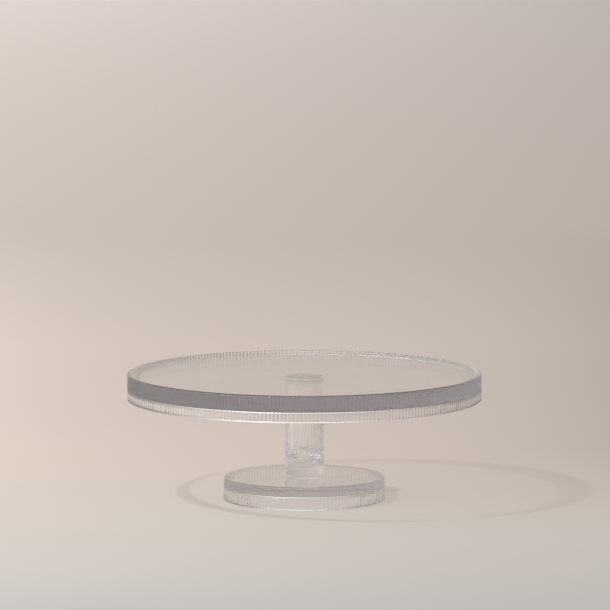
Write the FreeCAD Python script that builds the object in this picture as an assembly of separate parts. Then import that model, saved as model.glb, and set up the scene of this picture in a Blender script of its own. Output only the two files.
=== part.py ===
"""Footed glass display stand with a turning plate.

Frame: +Z up, origin at the middle of the foot's ring, on the surface that the
stand is put on.  All sizes are in millimetres.
"""
import FreeCAD, Part
import math
import os

from FreeCAD import Vector

# ---- plate: pressed clear glass, a solid disc with a low lip and a hanging skirt
plate_diameter = 300.0
plate_disc_thickness = 11.8
plate_lip_height = 2.2
plate_skirt_depth = 8.5
plate_skirt_wall = 7.0
plate_skirt_fillet = 3.0
plate_shoulder_radius = 3.2
plate_crown_width = 2.8          # rib crest to where the lip turns down again
plate_lip_slope = 3.0            # run of the lip's inner slope
plate_lip_rounding = 3.6
plate_lip_cove = 4.6
skirt_edge_radius = 1.5

# ---- base: pressed clear glass, the plate's shape again at a smaller size
base_band_diameter = 136.2
base_skirt_step = 0.7            # how far the skirt stands out past the band
base_disc_thickness = 8.5
base_skirt_height = 11.0
base_skirt_wall = 6.0
base_skirt_fillet = 3.0
base_shoulder_radius = 3.0

# ---- stem: blown-and-pressed clear glass tube with a closed, rounded foot
stem_length = 69.9
stem_ribbed_diameter = 32.6
stem_foot_overhang = 0.4         # how far the smooth foot stands out past the rib crests
stem_foot_height = 8.0
stem_foot_radius = 5.0
stem_wall = 3.5
stem_floor = 10.0
stem_floor_radius = 11.8         # the bore ends in a deep rounded bottom

# ---- the ribs that run round the plate, the base and the stem
rim_rib_pitch = 3.27
rim_rib_rise = 0.7
stem_rib_pitch = 2.84
stem_rib_rise = 0.45
crest_clearance = 0.5            # how far a turned outline stands outside the rib crests
overrun = 1.0                    # how far a blank or a cutter runs past what it trims

# ---- adhesive films
film_thickness = 0.2
film_margin = 0.5                # how far a film stays inside the edges that it joins

# ---- swivel: a flat ball bearing on a headed pin
swivel_diameter = 33.0
race_thickness = 1.5
race_gap = 1.0
race_edge_radius = 0.4
ball_diameter = 2.0
ball_circle_diameter = 23.0
ball_spacing = 3.6
groove_clearance = 0.1
cage_thickness = 0.6
cage_width = 6.0
cage_pocket_clearance = 0.1
pin_diameter = 4.0
pin_running_clearance = 0.05
pin_head_diameter = 7.0
pin_head_thickness = 0.45
pin_head_recess = 0.8
washer_thickness = 0.2
washer_bore_clearance = 0.1
recess_side_clearance = 0.3
pin_tail_diameter = 6.0
pin_tail_thickness = 0.5

# ---- heights, from the surface upwards
base_height = base_skirt_height + base_disc_thickness
stem_bottom = base_height + film_thickness
stem_top = stem_bottom + stem_length
lower_race_bottom = stem_top + film_thickness
lower_race_top = lower_race_bottom + race_thickness
upper_race_bottom = lower_race_top + race_gap
upper_race_top = upper_race_bottom + race_thickness
ball_height = (lower_race_top + upper_race_bottom) / 2
plate_underside = upper_race_top + film_thickness
plate_surface = plate_underside + plate_disc_thickness
plate_top = plate_surface + plate_lip_height
plate_bottom = plate_underside - plate_skirt_depth

UP = Vector(0, 0, 1)
AXIS = Vector(0, 0, 0)


def rounded_outline(corners):
    """Closed wire in the XZ plane through (radius, height, rounding) corners."""
    edges = []
    ends = []
    count = len(corners)
    for index, (across, height, rounding) in enumerate(corners):
        here = Vector(across, 0, height)
        before = Vector(corners[index - 1][0], 0, corners[index - 1][1])
        after = Vector(corners[(index + 1) % count][0], 0, corners[(index + 1) % count][1])
        if rounding == 0:
            ends.append((here, here))
            continue
        back = (before - here).normalize()
        onward = (after - here).normalize()
        half_angle = back.getAngle(onward) / 2
        reach = rounding / math.tan(half_angle)
        bisector = (back + onward).normalize()
        arc_start = here + back * reach
        arc_end = here + onward * reach
        arc_middle = here + bisector * (rounding / math.sin(half_angle) - rounding)
        ends.append((arc_start, arc_end))
        edges.append(Part.Arc(arc_start, arc_middle, arc_end).toShape())
    for index in range(count):
        leave = ends[index][1]
        arrive = ends[(index + 1) % count][0]
        edges.append(Part.LineSegment(leave, arrive).toShape())
    return Part.Wire(Part.__sortEdges__(edges))


def turned(corners):
    """Solid of revolution about Z from an outline's corners."""
    return Part.Face(rounded_outline(corners)).revolve(AXIS, UP, 360)


def disc(diameter, bottom, height):
    return Part.makeCylinder(diameter / 2, height, Vector(0, 0, bottom), UP)


def ring(outer_diameter, inner_diameter, bottom, height):
    return disc(outer_diameter, bottom, height).cut(disc(inner_diameter, bottom, height))


def ribbed_prism(diameter, pitch, rise, bottom, height):
    """Upright prism whose wall is a row of rounded ribs, with their crests on diameter."""
    count = round(math.pi * diameter / pitch)
    crest = diameter / 2
    valley = crest - rise
    step = 2 * math.pi / count

    def point(radius, turn):
        return Vector(radius * math.cos(turn), radius * math.sin(turn), bottom)

    ribs = [
        Part.Arc(point(valley, step * index), point(crest, step * (index + 0.5)),
                 point(valley, step * ((index + 1) % count))).toShape()
        for index in range(count)
    ]
    return Part.Face(Part.Wire(ribs)).extrude(UP * height)


def make_top_plate():
    crest = plate_diameter / 2
    outside = crest + crest_clearance
    skirt_inside = crest - plate_skirt_wall
    crown_inside = crest - plate_shoulder_radius - plate_crown_width
    lip_foot = crown_inside - plate_lip_slope
    envelope = turned([
        (0, plate_underside, 0),
        (skirt_inside, plate_underside, plate_skirt_fillet),
        (skirt_inside, plate_bottom, skirt_edge_radius),
        (outside, plate_bottom, skirt_edge_radius),
        (outside, plate_top, plate_shoulder_radius),
        (crown_inside, plate_top, plate_lip_rounding),
        (lip_foot, plate_surface, plate_lip_cove),
        (0, plate_surface, 0),
    ])
    ribbed = ribbed_prism(plate_diameter, rim_rib_pitch, rim_rib_rise,
                          plate_bottom - overrun, plate_top - plate_bottom + 2 * overrun)
    return ribbed.common(envelope)


def make_base():
    band_crest = base_band_diameter / 2
    skirt_crest = band_crest + base_skirt_step
    outside = skirt_crest + crest_clearance
    skirt_inside = skirt_crest - base_skirt_wall
    envelope = turned([
        (0, base_skirt_height, 0),
        (skirt_inside, base_skirt_height, base_skirt_fillet),
        (skirt_inside, 0, skirt_edge_radius),
        (outside, 0, skirt_edge_radius),
        (outside, base_skirt_height, 0),
        (band_crest + crest_clearance, base_skirt_height, 0),
        (band_crest + crest_clearance, base_height, base_shoulder_radius),
        (0, base_height, 0),
    ])
    band = ribbed_prism(base_band_diameter, rim_rib_pitch, rim_rib_rise,
                        base_skirt_height, base_disc_thickness + overrun)
    skirt = ribbed_prism(2 * skirt_crest, rim_rib_pitch, rim_rib_rise,
                         -overrun, base_skirt_height + overrun)
    return band.fuse(skirt).common(envelope)


def make_stem():
    foot_radius = stem_ribbed_diameter / 2 + stem_foot_overhang
    bore_radius = stem_ribbed_diameter / 2 - stem_rib_rise - stem_wall
    bottom_rounding = min(stem_floor_radius, bore_radius - crest_clearance)
    foot = turned([
        (0, stem_bottom, 0),
        (foot_radius, stem_bottom, stem_foot_radius),
        (foot_radius, stem_bottom + stem_foot_height, 0),
        (0, stem_bottom + stem_foot_height, 0),
    ])
    shaft = ribbed_prism(stem_ribbed_diameter, stem_rib_pitch, stem_rib_rise,
                         stem_bottom + stem_foot_height, stem_length - stem_foot_height)
    hollow = turned([
        (0, stem_bottom + stem_floor, 0),
        (bore_radius, stem_bottom + stem_floor, bottom_rounding),
        (bore_radius, stem_top + overrun, 0),
        (0, stem_top + overrun, 0),
    ])
    return foot.fuse(shaft).cut(hollow)


def ball_groove():
    groove_radius = ball_diameter / 2 + groove_clearance
    return Part.makeTorus(ball_circle_diameter / 2, groove_radius, Vector(0, 0, ball_height), UP)


def race_blank(bottom, rounded_above):
    """Race with a rounded outer edge on the side away from the balls."""
    radius = swivel_diameter / 2
    below = 0 if rounded_above else race_edge_radius
    above = race_edge_radius if rounded_above else 0
    return turned([
        (0, bottom, 0),
        (radius, bottom, below),
        (radius, bottom + race_thickness, above),
        (0, bottom + race_thickness, 0),
    ])


def make_lower_race():
    recess = disc(pin_tail_diameter, lower_race_bottom, pin_tail_thickness)
    bore = disc(pin_diameter, lower_race_bottom, race_thickness)
    return race_blank(lower_race_bottom, False).cut(ball_groove()).cut(recess).cut(bore)


def make_upper_race():
    recess_diameter = pin_head_diameter + 2 * recess_side_clearance
    recess = disc(recess_diameter, upper_race_top - pin_head_recess, pin_head_recess)
    bore = disc(pin_diameter + 2 * pin_running_clearance, upper_race_bottom, race_thickness)
    return race_blank(upper_race_bottom, True).cut(ball_groove()).cut(recess).cut(bore)


def ball_centres():
    count = int(math.pi * ball_circle_diameter / ball_spacing)
    radius = ball_circle_diameter / 2
    for index in range(count):
        turn = 2 * math.pi * index / count
        yield Vector(radius * math.cos(turn), radius * math.sin(turn), ball_height)


def make_bearing_balls():
    return Part.makeCompound([Part.makeSphere(ball_diameter / 2, centre) for centre in ball_centres()])


def make_ball_cage():
    bottom = ball_height - cage_thickness / 2
    cage = ring(ball_circle_diameter + cage_width, ball_circle_diameter - cage_width,
                bottom, cage_thickness)
    pocket_radius = ball_diameter / 2 + cage_pocket_clearance
    pockets = [
        Part.makeCylinder(pocket_radius, cage_thickness, Vector(centre.x, centre.y, bottom), UP)
        for centre in ball_centres()
    ]
    return cage.cut(Part.makeCompound(pockets))


def make_thrust_washer():
    floor = upper_race_top - pin_head_recess
    return ring(pin_head_diameter, pin_diameter + 2 * washer_bore_clearance,
                floor + pin_running_clearance, washer_thickness)


def make_pivot_pin():
    head_bottom = upper_race_top - pin_head_recess + pin_running_clearance + washer_thickness
    shank = disc(pin_diameter, lower_race_bottom, head_bottom - lower_race_bottom)
    head = disc(pin_head_diameter, head_bottom, pin_head_thickness)
    tail = disc(pin_tail_diameter, lower_race_bottom, pin_tail_thickness)
    return shank.fuse(head).fuse(tail).removeSplitter()


def make_plate_bond():
    return disc(swivel_diameter - 2 * race_edge_radius - 2 * film_margin, upper_race_top,
                film_thickness)


def make_head_bond():
    outer = min(stem_ribbed_diameter - 2 * stem_rib_rise, swivel_diameter - 2 * race_edge_radius)
    inner = stem_ribbed_diameter - 2 * stem_rib_rise - 2 * stem_wall
    return ring(outer - 2 * film_margin, inner + 2 * film_margin, stem_top, film_thickness)


def make_foot_bond():
    flat_diameter = stem_ribbed_diameter + 2 * stem_foot_overhang - 2 * stem_foot_radius
    return disc(flat_diameter - 2 * film_margin, base_height, film_thickness)


NODES = {
    "base": make_base,
    "foot_bond": make_foot_bond,
    "stem": make_stem,
    "head_bond": make_head_bond,
    "lower_race": make_lower_race,
    "bearing_balls": make_bearing_balls,
    "ball_cage": make_ball_cage,
    "upper_race": make_upper_race,
    "thrust_washer": make_thrust_washer,
    "pivot_pin": make_pivot_pin,
    "plate_bond": make_plate_bond,
    "top_plate": make_top_plate,
}

os.makedirs("parts", exist_ok=True)
for node, make in NODES.items():
    shape = make()
    shape.exportStep(f"parts/{node}.step")
    box = shape.BoundBox
    print(f"{node}: {len(shape.Solids)} solid(s), valid {shape.isValid()}, "
          f"{shape.Volume / 1000:.2f} cm3, z {box.ZMin:.2f} to {box.ZMax:.2f}")
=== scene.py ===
"""Footed display stand of clear reeded glass with a turning plate.

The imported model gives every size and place.  The pieces follow in the order in
which the stand is put together, from the base up to the plate.
"""
import math

import bpy
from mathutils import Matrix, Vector


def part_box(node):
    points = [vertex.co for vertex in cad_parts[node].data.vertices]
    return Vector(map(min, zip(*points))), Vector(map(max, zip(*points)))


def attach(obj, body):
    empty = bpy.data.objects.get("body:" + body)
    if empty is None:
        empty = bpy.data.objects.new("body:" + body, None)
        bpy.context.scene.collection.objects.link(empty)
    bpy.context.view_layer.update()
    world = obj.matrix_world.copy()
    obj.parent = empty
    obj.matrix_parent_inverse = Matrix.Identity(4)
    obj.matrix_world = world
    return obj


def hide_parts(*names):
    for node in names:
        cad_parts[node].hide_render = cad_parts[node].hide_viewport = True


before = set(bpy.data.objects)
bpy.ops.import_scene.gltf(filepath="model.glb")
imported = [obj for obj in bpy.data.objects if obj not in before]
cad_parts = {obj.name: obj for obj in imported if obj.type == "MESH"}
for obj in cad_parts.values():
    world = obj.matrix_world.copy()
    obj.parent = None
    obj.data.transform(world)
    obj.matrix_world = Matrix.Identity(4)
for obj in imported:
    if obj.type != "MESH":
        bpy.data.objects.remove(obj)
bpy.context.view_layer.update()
MM = 0.001


# ---------------------------------------------------------------- base
# The base is one pressing of clear glass: a thick disc with a rounded shoulder
# above a hollow ribbed skirt, which flares a little towards the table.  Its ribs
# come from the mould and fade out over the shoulder.

base_low, base_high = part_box("base")
base_radius = base_high.x
base_skirt_height = 11.0 * MM
base_flare = 0.7 * MM
base_skirt_wall = 6.0 * MM
base_shoulder = 3.0 * MM
base_reeds = 132
rim_reed_depth = 0.7 * MM
pressed_edge = 1.5 * MM
pressed_fillet = 3.0 * MM


def rounded(corners, steps=7):
    """Points along an outline of (radius, height, rounding, reeded) corners.

    Each rounding is an arc, with a point just before and just after it that
    keeps the flats beside it flat.
    """
    points = []
    for index, (radius, height, rounding, reeded) in enumerate(corners):
        here = Vector((radius, height))
        if rounding == 0:
            points.append((radius, height, reeded))
            continue
        back = (Vector(corners[index - 1][:2]) - here).normalized()
        onward = (Vector(corners[(index + 1) % len(corners)][:2]) - here).normalized()
        half_angle = back.angle(onward) / 2
        reach = rounding / math.tan(half_angle)
        centre = here + (back + onward).normalized() * (rounding / math.sin(half_angle))
        start = here + back * reach - centre
        end = here + onward * reach - centre
        sweep = start.angle_signed(end)
        lead = 0.04 * rounding
        points.append((*(centre + start + back * lead), reeded))
        for step in range(steps + 1):
            turn = sweep * step / steps
            across = start.x * math.cos(turn) + start.y * math.sin(turn)
            up = start.y * math.cos(turn) - start.x * math.sin(turn)
            points.append((centre.x + across, centre.y + up, reeded))
        points.append((*(centre + end + onward * lead), reeded))
    return points


def reed_fall(across, half_pitch, depth):
    """How far one reed's wall lies under its crest, for across from -1 to 1.

    A reed is an arc of a circle, with a small hollow melted into each valley.
    """
    arc_radius = (half_pitch ** 2 + depth ** 2) / (2 * depth)
    fall = arc_radius - math.sqrt(arc_radius ** 2 - (across * half_pitch) ** 2)
    valley = 0.95 * depth
    valley_melt = 0.12 * depth
    return softer(fall, valley, valley_melt)


def softer(first, second, blend=0.35 * MM):
    """The smaller of two radii, melted together where they are close."""
    share = min(max(0.5 + 0.5 * (second - first) / blend, 0), 1)
    return second * (1 - share) + first * share - blend * share * (1 - share)


def turned_glass(name, outline, reeds, reed_depth, crest, facets=10, smooth_share=5):
    """Turned body whose outer wall carries reeds; crest gives their radius by height.

    An outline that starts off the axis is a closed loop and makes a ring.
    """
    fine = reeds * facets
    coarse = fine // smooth_share
    vertices = []
    faces = []
    rings = []
    for radius, height, reeded in outline:
        if radius == 0:
            rings.append((len(vertices), 1))
            vertices.append((0, 0, height))
            continue
        count = fine if reeded else coarse
        rings.append((len(vertices), count))
        for index in range(count):
            turn = 2 * math.pi * index / count
            reach = radius
            if reeded:
                across = 2 * ((index / facets) % 1) - 1
                half_pitch = math.pi * crest(height) / reeds
                fall = reed_fall(across, half_pitch, reed_depth)
                reach = softer(radius, crest(height) - fall)
            vertices.append((reach * math.cos(turn), reach * math.sin(turn), height))
    after = rings[1:] if outline[0][0] == 0 else rings[1:] + rings[:1]
    for (first, first_count), (second, second_count) in zip(rings, after):
        if first_count == 1 or second_count == 1:
            centre, start, count = ((first, second, second_count) if first_count == 1
                                    else (second, first, first_count))
            for index in range(count):
                rim = [start + index, start + (index + 1) % count]
                faces.append([centre, *(reversed(rim) if first_count == 1 else rim)])
            continue
        count = min(first_count, second_count)
        first_share = first_count // count
        second_share = second_count // count
        for index in range(count):
            near = [first + (index * first_share + step) % first_count
                    for step in range(first_share + 1)]
            far = [second + (index * second_share + step) % second_count
                   for step in range(second_share + 1)]
            faces.append([*near, *reversed(far)])
    mesh = bpy.data.meshes.new(name)
    mesh.from_pydata(vertices, [], faces)
    mesh.shade_smooth()
    piece = bpy.data.objects.new(name, mesh)
    piece.visible_diffuse = False
    bpy.context.scene.collection.objects.link(piece)
    return piece


def base_crest(height):
    """Reach of the base's rib crests: straight beside the disc, flared down the skirt."""
    below = max(base_skirt_height - height, 0) / base_skirt_height
    return base_radius - base_flare * (1 - below)


spare = 0.5 * MM
base_outline = rounded([
    (0, base_skirt_height, 0, False),
    (base_radius - base_skirt_wall, base_skirt_height, pressed_fillet, False),
    (base_radius - base_skirt_wall, 0, pressed_edge, False),
    (base_radius + spare, 0, pressed_edge, True),
    (base_radius - base_flare + spare, base_high.z, base_shoulder, True),
    (0, base_high.z, 0, False),
])
base = turned_glass("base_glass", base_outline, base_reeds, rim_reed_depth, base_crest,
                    facets=12, smooth_share=4)


class Value:
    """A socket in a material's nodes that Python's operators work on."""

    def __init__(self, tree, socket=None):
        self.tree = tree
        self.socket = socket

    def node(self, kind, settings=None, sockets=None, output=0):
        """Adds a node, sets it, fills or links its sockets, and returns one of its outputs."""
        made = self.tree.nodes.new(kind)
        for setting, value in (settings or {}).items():
            if setting == "stops":
                stops = made.color_ramp.elements
                while len(stops) < len(value):
                    stops.new(1.0)
                for stop, (position, colour) in zip(stops, value):
                    stop.position = position
                    stop.color = colour
            else:
                setattr(made, setting, value)
        for socket, value in (sockets or {}).items():
            if isinstance(value, Value):
                self.tree.links.new(value.socket, made.inputs[socket])
            else:
                made.inputs[socket].default_value = value
        return Value(self.tree, made.outputs[output] if made.outputs else None)

    def other(self, output):
        """Another output of the node that this socket belongs to."""
        return Value(self.tree, self.socket.node.outputs[output])

    def _maths(self, operation, first, second):
        return self.node("ShaderNodeMath", {"operation": operation}, {0: first, 1: second})

    def __add__(self, other):
        return self._maths("ADD", self, other)

    __radd__ = __add__

    def __sub__(self, other):
        return self._maths("SUBTRACT", self, other)

    def __rsub__(self, other):
        return self._maths("SUBTRACT", other, self)

    def __mul__(self, other):
        return self._maths("MULTIPLY", self, other)

    __rmul__ = __mul__

    def __truediv__(self, other):
        return self._maths("DIVIDE", self, other)


def finish_nodes(name):
    """A new material, empty but for its output, and a Value to add its nodes with."""
    material = bpy.data.materials.new(name)
    material.use_nodes = True
    material.node_tree.nodes.clear()
    return material, Value(material.node_tree)


def with_lamplight(glass, body):
    """Lets a lamp's light straight through flat faces; steep ones turn it aside."""
    facing = glass.node("ShaderNodeNewGeometry", output=1)
    upright = glass.node("ShaderNodeSeparateXYZ", {}, {0: facing}).other(2)
    steep = 1 - glass.node("ShaderNodeMath", {"operation": "ABSOLUTE"}, {0: upright})
    lost_when_steep = 0.55
    lost_when_flat = 0.02
    passing = glass.node("ShaderNodeMixShader", {}, {
        0: steep * steep * lost_when_steep + lost_when_flat,
        1: glass.node("ShaderNodeBsdfTransparent")})
    shadow_ray = glass.node("ShaderNodeLightPath", output=1)
    return glass.node("ShaderNodeMixShader", {}, {0: shadow_ray, 1: body, 2: passing})


def clear_glass(name, waviness):
    """Clear pressed glass: colourless on top, grey-violet through a long way of it."""
    material, glass = finish_nodes(name)
    place = glass.node("ShaderNodeTexCoord", output=3)
    swell = glass.node("ShaderNodeTexNoise", {"noise_dimensions": "3D"},
                       {"Vector": place, "Scale": 38.0, "Detail": 1.0, "Roughness": 0.4})
    bump = glass.node("ShaderNodeBump", {},
                      {"Strength": 1.0, "Distance": waviness, "Height": swell})
    body = glass.node("ShaderNodeBsdfPrincipled", {}, {
        "Base Color": (1.0, 1.0, 1.0, 1), "Roughness": 0.02, "IOR": 1.5,
        "Transmission Weight": 1.0, "Normal": bump})
    depth = glass.node("ShaderNodeVolumeAbsorption", {},
                       {"Color": (0.60, 0.605, 0.66, 1), "Density": 7.0})
    glass.node("ShaderNodeOutputMaterial", {},
               {"Surface": with_lamplight(glass, body), "Volume": depth})
    return material


pressed = clear_glass("pressed_glass", waviness=0.02 * MM)
base.data.materials.append(pressed)
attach(base, "stand")
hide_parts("base")


# ---------------------------------------------------------------- foot bond
# A thin film of clear light-cured adhesive holds the stem to the middle of the
# base.  It fills the joint, so the two pressings look like one where they meet.

sink = 0.02 * MM
meniscus = 0.08 * MM
film_sides = 96


def bond(name, node, bore, finish):
    """Film that reaches a little into both of the pieces that it joins."""
    low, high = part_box(node)
    bottom = low.z - sink
    top = high.z + sink
    outline = [(high.x, bottom, meniscus, False), (high.x, top, meniscus, False)]
    if bore:
        outline = [(bore, top, meniscus, False), (bore, bottom, meniscus, False), *outline]
    else:
        outline = [(0, bottom, 0, False), *outline, (0, top, 0, False)]
    film = turned_glass(name, rounded(outline, steps=3), film_sides, reed_depth=0, crest=None,
                        facets=1, smooth_share=1)
    film.data.materials.append(finish)
    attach(film, "plate" if node == "plate_bond" else "stand")
    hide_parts(node)


def clear_adhesive(name):
    """Cured adhesive: clear and faintly warm, with a fine ripple in its skin."""
    material, cured = finish_nodes(name)
    place = cured.node("ShaderNodeTexCoord", output=3)
    ripple = cured.node("ShaderNodeTexNoise", {"noise_dimensions": "3D"},
                        {"Vector": place, "Scale": 300.0, "Detail": 2.0})
    bump = cured.node("ShaderNodeBump", {},
                      {"Strength": 1.0, "Distance": 0.01 * MM, "Height": ripple})
    body = cured.node("ShaderNodeBsdfPrincipled", {}, {
        "Base Color": (0.98, 0.98, 0.96, 1), "Roughness": 0.03, "IOR": 1.49,
        "Transmission Weight": 1.0, "Normal": bump})
    cured.node("ShaderNodeOutputMaterial", {}, {"Surface": with_lamplight(cured, body)})
    return material


cured_film = clear_adhesive("cured_adhesive")
bond("foot_bond_film", "foot_bond", bore=0, finish=cured_film)


# ---------------------------------------------------------------- stem
# The stem is a tumbler-like tube of clear glass, closed by a thick smooth foot
# with a rounded edge.  Fine ribs run from the foot to its open head.

stem_low, stem_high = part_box("stem")
stem_foot_radius = stem_high.x
stem_overhang = 0.4 * MM
stem_rib_radius = stem_foot_radius - stem_overhang
stem_foot_height = 8.0 * MM
stem_foot_rounding = 5.0 * MM
stem_foot_shoulder = 0.8 * MM
stem_foot_slope = 0.6 * MM
stem_mouth_inside = 0.5 * MM
stem_mouth_outside = 0.6 * MM
stem_wall = 3.5 * MM
stem_floor = 10.0 * MM
stem_bottom_rounding = 11.8 * MM
stem_reeds = 36
stem_reed_depth = 0.45 * MM
stem_bore = stem_rib_radius - stem_reed_depth - stem_wall

stem_outline = rounded([
    (0, stem_low.z + stem_floor, 0, False),
    (stem_bore, stem_low.z + stem_floor, stem_bottom_rounding, False),
    (stem_bore, stem_high.z, stem_mouth_inside, False),
    (stem_rib_radius + spare, stem_high.z, stem_mouth_outside, True),
    (stem_rib_radius + spare, stem_low.z + stem_foot_height + stem_foot_slope, 0, True),
    (stem_foot_radius, stem_low.z + stem_foot_height - stem_foot_slope, stem_foot_shoulder, False),
    (stem_foot_radius, stem_low.z, stem_foot_rounding, False),
    (0, stem_low.z, 0, False),
][::-1])
stem = turned_glass("stem_glass", stem_outline, stem_reeds, stem_reed_depth,
                    lambda height: stem_rib_radius, facets=12, smooth_share=3)
stem.data.materials.append(pressed)
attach(stem, "stand")
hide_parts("stem")


# ---------------------------------------------------------------- head bond
# A ring of the same adhesive on the open rim of the stem holds the swivel's
# lower race, and stays clear of the bore.

bond_clearance = 0.5 * MM
bond("head_bond_film", "head_bond", bore=stem_bore + bond_clearance, finish=cured_film)


# ---------------------------------------------------------------- lower race
# The swivel's fixed half is a turned aluminium disc with a satin anodised skin
# and a fine lathe pattern.  A groove in its top face carries the balls.

def lathe_marks(surface, pitch, depth):
    """Bump of fine turning rings round the upright axis, uneven as a tool leaves them."""
    place = surface.node("ShaderNodeTexCoord", output=3)
    split = surface.node("ShaderNodeSeparateXYZ", {}, {0: place})
    flat = surface.node("ShaderNodeCombineXYZ", {}, {0: split, 1: split.other(1)})
    reach = surface.node("ShaderNodeVectorMath", {"operation": "LENGTH"}, {0: flat}, output=1)
    drift = surface.node("ShaderNodeTexNoise", {"noise_dimensions": "1D"},
                         {"W": reach / pitch, "Scale": 1.0, "Detail": 3.0})
    return drift, surface.node("ShaderNodeBump", {},
                               {"Strength": 1.0, "Distance": depth, "Height": drift})


def satin_metal(name, dark, light, rough_low, rough_high, pitch, depth):
    """Turned metal: the same rings vary its colour, its gloss and its relief."""
    material, metal = finish_nodes(name)
    drift, bump = lathe_marks(metal, pitch, depth)
    colour = metal.node("ShaderNodeMix", {"data_type": "RGBA"}, {0: drift, 6: dark, 7: light},
                        output=2)
    body = metal.node("ShaderNodeBsdfPrincipled", {}, {
        "Base Color": colour, "Metallic": 1.0,
        "Roughness": drift * (rough_high - rough_low) + rough_low, "Normal": bump})
    metal.node("ShaderNodeOutputMaterial", {}, {"Surface": body})
    return material


def refinish(node, finish):
    """Gives a carried-over node its finish."""
    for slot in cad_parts[node].material_slots:
        slot.material = finish


anodised = satin_metal("satin_anodised", (0.74, 0.72, 0.70, 1), (0.84, 0.82, 0.80, 1),
                       rough_low=0.35, rough_high=0.50, pitch=0.25 * MM, depth=0.003 * MM)
refinish("lower_race", anodised)


# ---------------------------------------------------------------- pivot pin
# A turned steel pin runs up through both races.  Its foot is flared into the
# lower race and its low head holds the upper one down.

pin_steel = satin_metal("turned_steel", (0.50, 0.50, 0.50, 1), (0.62, 0.62, 0.61, 1),
                        rough_low=0.18, rough_high=0.30, pitch=0.15 * MM, depth=0.003 * MM)
refinish("pivot_pin", pin_steel)


# ---------------------------------------------------------------- ball cage and balls
# Twenty polished steel balls roll between the races.  A punched nylon ring keeps
# them apart and goes round with them at half the plate's speed.

def moulded(name, dark, light, roughness, grain, relief):
    """Matt moulded plastic with a soft mottle and a fine grain."""
    material, plastic = finish_nodes(name)
    place = plastic.node("ShaderNodeTexCoord", output=3)
    mottle = plastic.node("ShaderNodeTexNoise", {"noise_dimensions": "3D"},
                          {"Vector": place, "Scale": grain, "Detail": 4.0})
    bump = plastic.node("ShaderNodeBump", {},
                        {"Strength": 1.0, "Distance": relief, "Height": mottle})
    colour = plastic.node("ShaderNodeMix", {"data_type": "RGBA"}, {0: mottle, 6: dark, 7: light},
                          output=2)
    body = plastic.node("ShaderNodeBsdfPrincipled", {}, {
        "Base Color": colour, "Roughness": roughness, "Normal": bump})
    plastic.node("ShaderNodeOutputMaterial", {}, {"Surface": body})
    return material


refinish("ball_cage", moulded("natural_nylon", (0.62, 0.60, 0.54, 1), (0.74, 0.72, 0.66, 1),
                              roughness=0.45, grain=900.0, relief=0.01 * MM))

ball_steel, steel = finish_nodes("polished_steel")
scuffs = steel.node("ShaderNodeTexNoise", {"noise_dimensions": "3D"},
                    {"Vector": steel.node("ShaderNodeTexCoord", output=3), "Scale": 1500.0,
                     "Detail": 3.0})
polish = steel.node("ShaderNodeBsdfPrincipled", {}, {
    "Base Color": (0.62, 0.62, 0.63, 1), "Metallic": 1.0, "Roughness": scuffs * 0.12 + 0.04})
steel.node("ShaderNodeOutputMaterial", {}, {"Surface": polish})
refinish("bearing_balls", ball_steel)


# ---------------------------------------------------------------- upper race
# The swivel's turning half is the same disc turned over, with a recess for the
# pin's head.  It shows through the plate as a small grey disc.

refinish("upper_race", anodised)


# ---------------------------------------------------------------- thrust washer
# A thin slippery washer lies under the pin's head, so that the upper race turns
# freely when the plate is lifted by one side.

refinish("thrust_washer", moulded("white_washer", (0.78, 0.78, 0.76, 1), (0.86, 0.86, 0.84, 1),
                                  roughness=0.55, grain=1200.0, relief=0.006 * MM))


# ---------------------------------------------------------------- plate bond
# The last film of adhesive holds the upper race in the middle of the plate's
# underside.

bond("plate_bond_film", "plate_bond", bore=0, finish=cured_film)


# ---------------------------------------------------------------- plate
# The plate is a second, larger pressing of the same form as the base, with a low
# rounded lip round its flat top.

plate_low, plate_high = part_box("top_plate")
plate_radius = 150.0 * MM
plate_lip = 2.2 * MM
plate_disc = 11.8 * MM
plate_wall = 7.0 * MM
plate_shoulder = 3.2 * MM
plate_crown = 2.8 * MM
plate_slope = 3.0 * MM
plate_crown_rounding = 3.6 * MM
plate_toe_rounding = 4.6 * MM
plate_reeds = 288
plate_surface = plate_high.z - plate_lip
plate_underside = plate_surface - plate_disc
plate_crown_inside = plate_radius - plate_shoulder - plate_crown

plate_outline = rounded([
    (0, plate_underside, 0, False),
    (plate_radius - plate_wall, plate_underside, pressed_fillet, False),
    (plate_radius - plate_wall, plate_low.z, pressed_edge, False),
    (plate_radius + spare, plate_low.z, pressed_edge, True),
    (plate_radius + spare, plate_high.z, plate_shoulder, True),
    (plate_crown_inside, plate_high.z, plate_crown_rounding, False),
    (plate_crown_inside - plate_slope, plate_surface, plate_toe_rounding, False),
    (0, plate_surface, 0, False),
])
plate = turned_glass("plate_glass", plate_outline, plate_reeds, rim_reed_depth,
                     lambda height: plate_radius)
plate.data.materials.append(pressed)
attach(plate, "plate")
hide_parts("top_plate")


# ---------------------------------------------------------------- surroundings
# The stand is on a wide pale paper sweep, under soft light from all round.  A
# small warm lamp at the front left draws its outline on the paper, and a wider
# one at the same place only glints in the glass and the metal.

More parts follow.
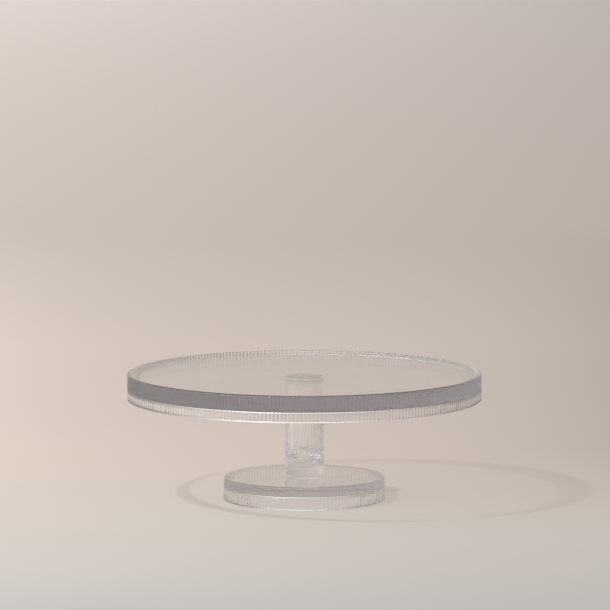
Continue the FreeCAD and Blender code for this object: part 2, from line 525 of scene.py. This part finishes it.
def paper_sweep():
    """Matt paper whose colour carries painted light: painted shade along the depth, warmest beside
    the stand and greyer towards the front, and painted side light, lighter to the left and darker
    to the right.
    """
    material, paper = finish_nodes("paper_sweep")
    place = paper.node("ShaderNodeTexCoord", output=3)
    across = paper.node("ShaderNodeSeparateXYZ", {}, {0: place})
    back = across.other(1)
    near, far = -0.54, 6.5
    along = (back - near) / (far - near)
    # These stops paint the fall of the studio light along the depth into the paper's colour, as
    # painted shade.
    shades = [(-0.54, (0.505, 0.495, 0.48, 1)), (-0.2, (0.55, 0.52, 0.475, 1)),
              (0.2, (0.61, 0.54, 0.48, 1)), (1.0, (0.665, 0.59, 0.53, 1)),
              (2.0, (0.615, 0.555, 0.495, 1)), (4.5, (0.67, 0.61, 0.555, 1)),
              (6.5, (0.72, 0.66, 0.61, 1))]
    painted_shade_ramp = paper.node("ShaderNodeValToRGB", {"stops": [
        ((place_back - near) / (far - near), shade) for place_back, shade in shades]}, {0: along})
    beside = paper.node("ShaderNodeMapRange", {},
                        {"Value": back, "From Min": 0.8, "From Max": 2.2,
                         "To Min": 4.0, "To Max": 0.0})
    onset = paper.node("ShaderNodeMapRange", {},
                       {"Value": back, "From Min": -0.2, "From Max": 0.3})
    side_shade = 0.3
    # Painted side light: the paper's colour is made lighter to the left and darker to the right,
    # from just in front of the stand backwards.
    painted_side_light = 1 - across * (across * across * beside + side_shade) * onset
    held = paper.node("ShaderNodeClamp", {}, {"Value": painted_side_light, "Min": 0.8, "Max": 1.2})
    painted_paper_colour = paper.node("ShaderNodeVectorMath", {"operation": "SCALE"}, {0: painted_shade_ramp, "Scale": held})
    body = paper.node("ShaderNodeBsdfPrincipled", {}, {
        "Base Color": painted_paper_colour, "Roughness": 0.9, "Specular IOR Level": 0.1})
    paper.node("ShaderNodeOutputMaterial", {}, {"Surface": body})
    return material


floor_reach = 40.0
floor_mesh = bpy.data.meshes.new("floor")
floor_mesh.from_pydata([(-floor_reach, -floor_reach, 0), (floor_reach, -floor_reach, 0),
                        (floor_reach, floor_reach, 0), (-floor_reach, floor_reach, 0)],
                       [], [(0, 1, 2, 3)])
floor = bpy.data.objects.new("floor", floor_mesh)
bpy.context.scene.collection.objects.link(floor)
floor.data.materials.append(paper_sweep())

world = bpy.data.worlds.new("studio")
bpy.context.scene.world = world
world.use_nodes = True
world.node_tree.nodes.clear()
air = Value(world.node_tree)
sideward = air.node("ShaderNodeSeparateXYZ", {}, {0: air.node("ShaderNodeTexCoord")})
forward = sideward.other(1)
upward = sideward.other(2)
ahead = air.node("ShaderNodeMapRange", {"interpolation_type": "SMOOTHSTEP"},
                 {"Value": forward, "From Min": -0.45, "From Max": 0.35})
room = air.node("ShaderNodeMix", {"data_type": "RGBA"},
                {0: upward, 6: (0.46, 0.48, 0.56, 1), 7: (0.76, 0.77, 0.82, 1)}, output=2)
shade = air.node("ShaderNodeMix", {"data_type": "RGBA"},
                 {0: ahead, 6: room, 7: (0.58, 0.505, 0.455, 1)}, output=2)
side_dimming = 0.15
far_side_dimming = 0.2
slant = 1 - sideward * (sideward * sideward * far_side_dimming + side_dimming)
glow = air.node("ShaderNodeClamp", {}, {"Value": slant, "Min": 0.6, "Max": 1.4})
sky = air.node("ShaderNodeBackground", {}, {"Color": shade, "Strength": glow})
air.node("ShaderNodeOutputWorld", {}, {"Surface": sky})


def light(name, kind, place, strength, colour, lights=True, mirrored=True):
    """A lamp at place, turned towards the stand: it lights, it is mirrored, or both."""
    lamp = bpy.data.lights.new(name, kind)
    lamp.energy = strength
    lamp.color = colour
    item = bpy.data.objects.new(name, lamp)
    item.location = place
    item.rotation_euler = (-Vector(place)).to_track_quat("-Z", "Y").to_euler()
    item.visible_camera = False
    item.visible_diffuse = lights
    item.visible_glossy = mirrored
    item.visible_transmission = mirrored
    bpy.context.scene.collection.objects.link(item)
    return lamp


key_place = (-0.47, -0.34, 0.78)
key = light("key", "AREA", key_place, 2.4, (1.0, 0.96, 0.90), mirrored=False)
key.shape = "DISK"
key.size = 0.035
glint = light("glint", "AREA", key_place, 1.2, (1.0, 0.98, 0.95), lights=False)
glint.shape = "DISK"
glint.size = 0.25
fill = light("fill", "SUN", (-0.5, -0.7, 1.8), 1.0, (0.96, 0.98, 1.0))
fill.angle = math.radians(90)
strip = light("strip", "AREA", (-0.62, -0.42, 0.15), 0.5, (0.90, 0.95, 1.0))
strip.shape = "RECTANGLE"
strip.size = 0.45
strip.size_y = 0.32

camera_distance = 4.5
camera_height = 0.709
camera_aside = 0.0005
camera_dip = 6.89
camera_data = bpy.data.cameras.new("camera")
camera_data.lens = 316.6
camera_data.clip_end = 100
camera = bpy.data.objects.new("camera", camera_data)
camera.location = (camera_aside, -camera_distance, camera_height)
camera.rotation_euler = (math.radians(90 - camera_dip), 0, 0)
bpy.context.scene.collection.objects.link(camera)
bpy.context.scene.camera = camera

bpy.context.scene.view_settings.view_transform = "Standard"
bpy.context.scene.cycles.max_bounces = 20
bpy.context.scene.cycles.glossy_bounces = 14
bpy.context.scene.cycles.transmission_bounces = 14
